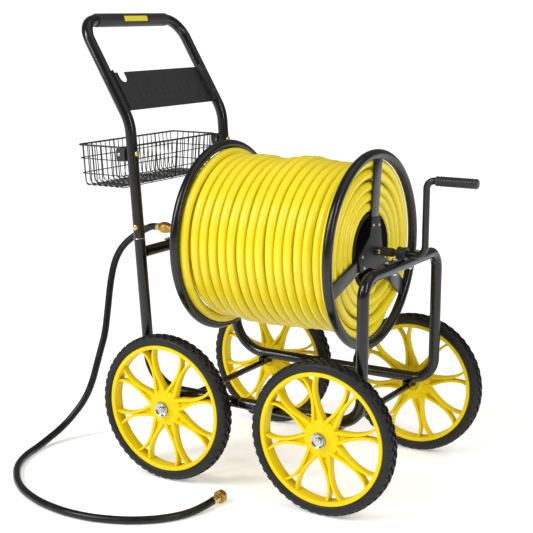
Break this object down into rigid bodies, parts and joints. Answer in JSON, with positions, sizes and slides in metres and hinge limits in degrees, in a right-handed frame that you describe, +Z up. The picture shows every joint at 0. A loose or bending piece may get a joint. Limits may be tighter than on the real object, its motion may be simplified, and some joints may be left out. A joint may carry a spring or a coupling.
{
  "type": "garden hose reel cart",
  "caption": "Tube-frame garden cart with a crank-turned hose reel, spoked wheels, wire basket, tool panel and a leader hose with a tap nut.",
  "frame": {"origin": "on the ground, under the middle of the cart without its leader hose", "axes": "+Z up; +X along the cart, from the handle towards the crank; +Y across it, to the right side"},
  "size_m": [1.0767, 0.8356, 1.0987],
  "materials": {
    "black_tube": "satin powder coat",
    "black_sheet": "satin powder coat on sheet steel",
    "basket_wire": "satin coated wire",
    "foam": "matte foam",
    "black_plastic": "moulded",
    "zinc": "bright zinc plated",
    "steel": "turned steel",
    "brass": "polished",
    "yellow_plastic": "moulded, semi-gloss",
    "tyre": "matte moulded tread",
    "yellow_hose": "extruded, slightly glossy",
    "black_hose": "extruded, slightly glossy"
  },
  "bodies": {
    "frame": {"basket_bolt_left": "brass", "basket_bolt_right": "brass", "basket_bracket_left": "black_sheet", "basket_bracket_right": "black_sheet", "front_axle": "steel", "front_axle_tube": "black_tube", "front_bearing_block": "black_sheet", "front_bearing_bolt_left": "zinc", "front_bearing_bolt_right": "zinc", "front_bearing_bush": "black_plastic", "front_frame": "black_tube", "handle_grip": "foam", "handle_tube": "black_tube", "hub_nut_front_left": "zinc", "hub_nut_front_right": "zinc", "hub_nut_rear_left": "zinc", "hub_nut_rear_right": "zinc", "inlet_ferrule": "brass", "inlet_nut": "brass", "inlet_swivel_body": "brass", "leader_ferrule": "brass", "leader_hose": "black_hose", "post_bolt_left": "brass", "post_bolt_right": "brass", "rail_bolt_left": "zinc", "rail_bolt_right": "zinc", "rear_axle": "steel", "rear_axle_tube": "black_tube", "rear_bearing_block": "black_sheet", "rear_bearing_bolt_left": "zinc", "rear_bearing_bolt_right": "zinc", "rear_bearing_bush": "black_plastic", "rear_cross_bar": "black_tube", "rear_frame_left": "black_tube", "rear_frame_right": "black_tube", "tool_panel": "black_sheet", "wire_basket": "basket_wire"},
    "reel": {"reel_flange_front": "black_tube", "reel_flange_rear": "black_tube", "hub_plate_front": "black_sheet", "hub_plate_rear": "black_sheet", "reel_drum": "black_sheet", "wound_hose": "yellow_hose", "wound_hose_coupling": "brass", "drum_water_pipe": "steel", "crank_rod": "black_tube"},
    "crank_grip": {"crank_grip": "black_plastic"},
    "leader_nut": {"leader_coupling_nut": "brass"},
    "wheel_front_left": {"wheel_rim_front_left": "yellow_plastic", "wheel_tyre_front_left": "tyre", "wheel_bush_front_left": "black_plastic"},
    "wheel_front_right": {"wheel_rim_front_right": "yellow_plastic", "wheel_tyre_front_right": "tyre", "wheel_bush_front_right": "black_plastic"},
    "wheel_rear_left": {"wheel_rim_rear_left": "yellow_plastic", "wheel_tyre_rear_left": "tyre", "wheel_bush_rear_left": "black_plastic"},
    "wheel_rear_right": {"wheel_rim_rear_right": "yellow_plastic", "wheel_tyre_rear_right": "tyre", "wheel_bush_rear_right": "black_plastic"}
  },
  "joints": [
    {"name": "reel_spin", "type": "hinge", "parent": "frame", "child": "reel", "pos_m": [0, 0, 0.56], "axis": [1, 0, 0], "continuous": true},
    {"name": "grip_spin", "type": "hinge", "parent": "reel", "child": "crank_grip", "pos_m": [0.43, 0, 0.733], "axis": [1, 0, 0], "continuous": true},
    {"name": "wheel_front_left_spin", "type": "hinge", "parent": "frame", "child": "wheel_front_left", "pos_m": [0.232, -0.2475, 0.178], "axis": [0, 1, 0], "continuous": true},
    {"name": "wheel_front_right_spin", "type": "hinge", "parent": "frame", "child": "wheel_front_right", "pos_m": [0.232, 0.2475, 0.178], "axis": [0, 1, 0], "continuous": true},
    {"name": "wheel_rear_left_spin", "type": "hinge", "parent": "frame", "child": "wheel_rear_left", "pos_m": [-0.192, -0.2475, 0.178], "axis": [0, 1, 0], "continuous": true},
    {"name": "wheel_rear_right_spin", "type": "hinge", "parent": "frame", "child": "wheel_rear_right", "pos_m": [-0.192, 0.2475, 0.178], "axis": [0, 1, 0], "continuous": true},
    {"name": "leader_nut_spin", "type": "hinge", "parent": "frame", "child": "leader_nut", "pos_m": [0.002, -0.312, 0.0146], "axis": [0, 1, 0], "continuous": true}
  ]
}
